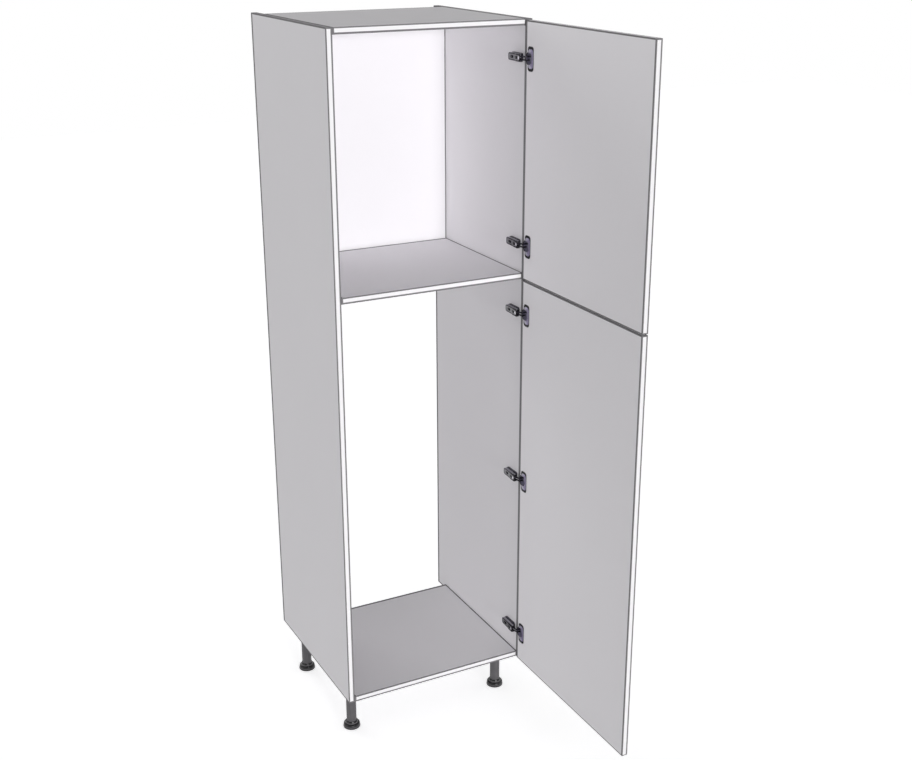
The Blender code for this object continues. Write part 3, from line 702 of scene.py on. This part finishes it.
def foot_profile(radius, tube_radius):
    """From the collar round the tube down its flare, over the dome and the drafted rim, to the sole."""
    lip = tube_radius + COLLAR_FIT
    neck = COLLAR_RADIUS + COLLAR_FLARE
    shoulder = radius - RIM_DRAFT - SHOULDER_ROUND
    return [
        (0, DOME_TOP),
        (lip, DOME_TOP),
        (lip, COLLAR_TOP),
        *arc((COLLAR_RADIUS - COLLAR_ROUND, COLLAR_TOP - COLLAR_ROUND), COLLAR_ROUND, 90, 0, steps=3),
        (neck, NECK_TOP),
        *arc((neck + NECK_ROUND, DOME_TOP + NECK_ROUND), NECK_ROUND, 180, 270, steps=5),
        *arc((shoulder, DOME_TOP - SHOULDER_ROUND), SHOULDER_ROUND, *SHOULDER_DEGREES, steps=8),
        (radius, RIM_FOOT),
        *arc((radius - SOLE_ROUND, SOLE_ROUND), SOLE_ROUND, 0, -90, steps=4),
        (0, 0),
    ]


def tube_profile(radius, low, high):
    """A straight outline with chamfered ends, from the top down."""
    end = radius - TUBE_CHAMFER
    upper = [(0, high), (end, high), (radius, high - TUBE_CHAMFER)]
    return upper + [(radius, low + TUBE_CHAMFER), (end, low), (0, low)]


def build_legs():
    """Smooth feet and tubes in place of the faceted ones, and the screws under the socket flanges."""
    for leg in LEGS:
        foot_low, foot_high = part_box(f"{leg}_foot")
        tube_low, tube_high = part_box(f"{leg}_tube")
        _, socket_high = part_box(f"{leg}_socket")
        x, y, _ = (foot_low + foot_high) / 2
        tube_radius = (tube_high.x - tube_low.x) / 2
        profiles = {
            "foot": foot_profile((foot_high.x - foot_low.x) / 2, tube_radius),
            "tube": tube_profile(tube_radius, tube_low.z, tube_high.z),
        }
        for part, profile in profiles.items():
            mesh = turned(part, profile, LEG_STEPS)
            finish = f"{part}_plastic"
            made = piece(f"{leg}_turned_{part}", mesh, finish, (x, y, 0), UPRIGHT, "carcass")
            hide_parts(f"{leg}_{part}")
        for number in range(SOCKET_SCREWS):
            turn = math.tau * (number + 0.5) / SOCKET_SCREWS
            reach = (SOCKET_SCREW_RING * math.cos(turn), SOCKET_SCREW_RING * math.sin(turn))
            place = (x + reach[0], y + reach[1], socket_high.z - SOCKET_FLANGE)
            name = f"{leg}_socket_screw_{number + 1}"
            mesh = SCREW_MESHES["socket_screw"]
            piece(name, mesh, "screw_steel", place, HEAD_DOWN, "carcass")


def seen_directly(tree):
    """1 on camera, glossy and transmission rays, 0 on the rays that light things."""
    rays = node(tree, "LightPath").outputs
    mirrored = calc(tree, "MAXIMUM", rays["Is Glossy Ray"], rays["Is Transmission Ray"])
    return calc(tree, "MAXIMUM", rays["Is Camera Ray"], mirrored)


def build_stage():
    """A pale floor that shows white to the camera and still takes the object's shadow."""
    mesh = bpy.data.meshes.new("floor")
    shape = bmesh.new()
    half = FLOOR_SIZE / 2
    bmesh.ops.create_grid(shape, x_segments=FLOOR_SEGMENTS, y_segments=FLOOR_SEGMENTS, size=half)
    shape.to_mesh(mesh)
    shape.free()
    floor = linked("floor", mesh)
    floor.location.z = -FLOOR_DROP
    look, tree, shader = blank_material("floor")
    grain = spread(tree, noise(tree, FLOOR_GRAIN, FINE_DETAIL), 0.0, 1.0)
    tone = mix_color(tree, grain, shaded(FLOOR_COLOR, FLOOR_DARK_SHARE), FLOOR_COLOR)
    tree.links.new(tone, shader.inputs["Base Color"])
    shader.inputs["Roughness"].default_value = FLOOR_ROUGHNESS
    shader.inputs["Specular IOR Level"].default_value = FLOOR_SHINE
    lift = node(tree, "Emission", {"Color": (1, 1, 1, 1), "Strength": FLOOR_LIFT})
    both = node(tree, "AddShader", {0: shader.outputs[0], 1: lift.outputs[0]})
    chosen = node(tree, "MixShader", {0: seen_directly(tree), 1: shader.outputs[0], 2: both.outputs[0]})
    tree.links.new(chosen.outputs[0], tree.nodes["Material Output"].inputs["Surface"])
    mesh.materials.append(look)


def build_world():
    """A faint even light on the object, and a white background."""
    world = bpy.data.worlds.new("studio")
    bpy.context.scene.world = world
    world.use_nodes = True
    tree = world.node_tree
    tree.nodes.clear()
    ambient = node(tree, "Background", {"Color": (1, 1, 1, 1), "Strength": AMBIENT})
    shown = node(tree, "Background", {"Color": (1, 1, 1, 1), "Strength": BACKGROUND})
    chosen = node(tree, "MixShader", {0: seen_directly(tree), 1: ambient.outputs[0], 2: shown.outputs[0]})
    result = tree.nodes.new("ShaderNodeOutputWorld")
    tree.links.new(chosen.outputs[0], result.inputs["Surface"])


def build_lamps():
    """Broad soft lamps from all sides; a level of 1 needs a strength of pi."""
    for name, (heading, level, softness, casts) in LAMPS.items():
        lamp = bpy.data.lights.new(name, "SUN")
        lamp.energy = level * math.pi
        lamp.angle = math.radians(softness)
        lamp.use_shadow = casts
        linked(name, lamp).rotation_euler = Vector(heading).to_track_quat("-Z", "Y").to_euler()


def build_camera():
    """The photograph's view."""
    lens = bpy.data.cameras.new("camera")
    lens.lens = CAMERA_LENS
    lens.shift_x, lens.shift_y = CAMERA_SHIFT
    camera = linked("camera", lens)
    camera.location = CAMERA_PLACE
    camera.rotation_euler = Euler([math.radians(angle) for angle in CAMERA_TURN])
    bpy.context.scene.camera = camera


ARRIS = edge_group()
SCREW_MESHES = {kind: screw_mesh(kind, *sizes) for kind, sizes in SCREWS.items()}
LOOKS = {"cup_nickel": cup_material(), "arm_steel": arm_material(), "foot_plastic": foot_material()}
for metal, finish in METALS.items():
    LOOKS[metal] = metal_material(metal, *finish)
for plastic, finish in PLASTICS.items():
    LOOKS[plastic] = plastic_material(plastic, *finish)

dress_nodes()
build_hinge_screws()
build_legs()
build_stage()
build_world()
build_lamps()
build_camera()
bpy.context.scene.view_settings.view_transform = "Standard"
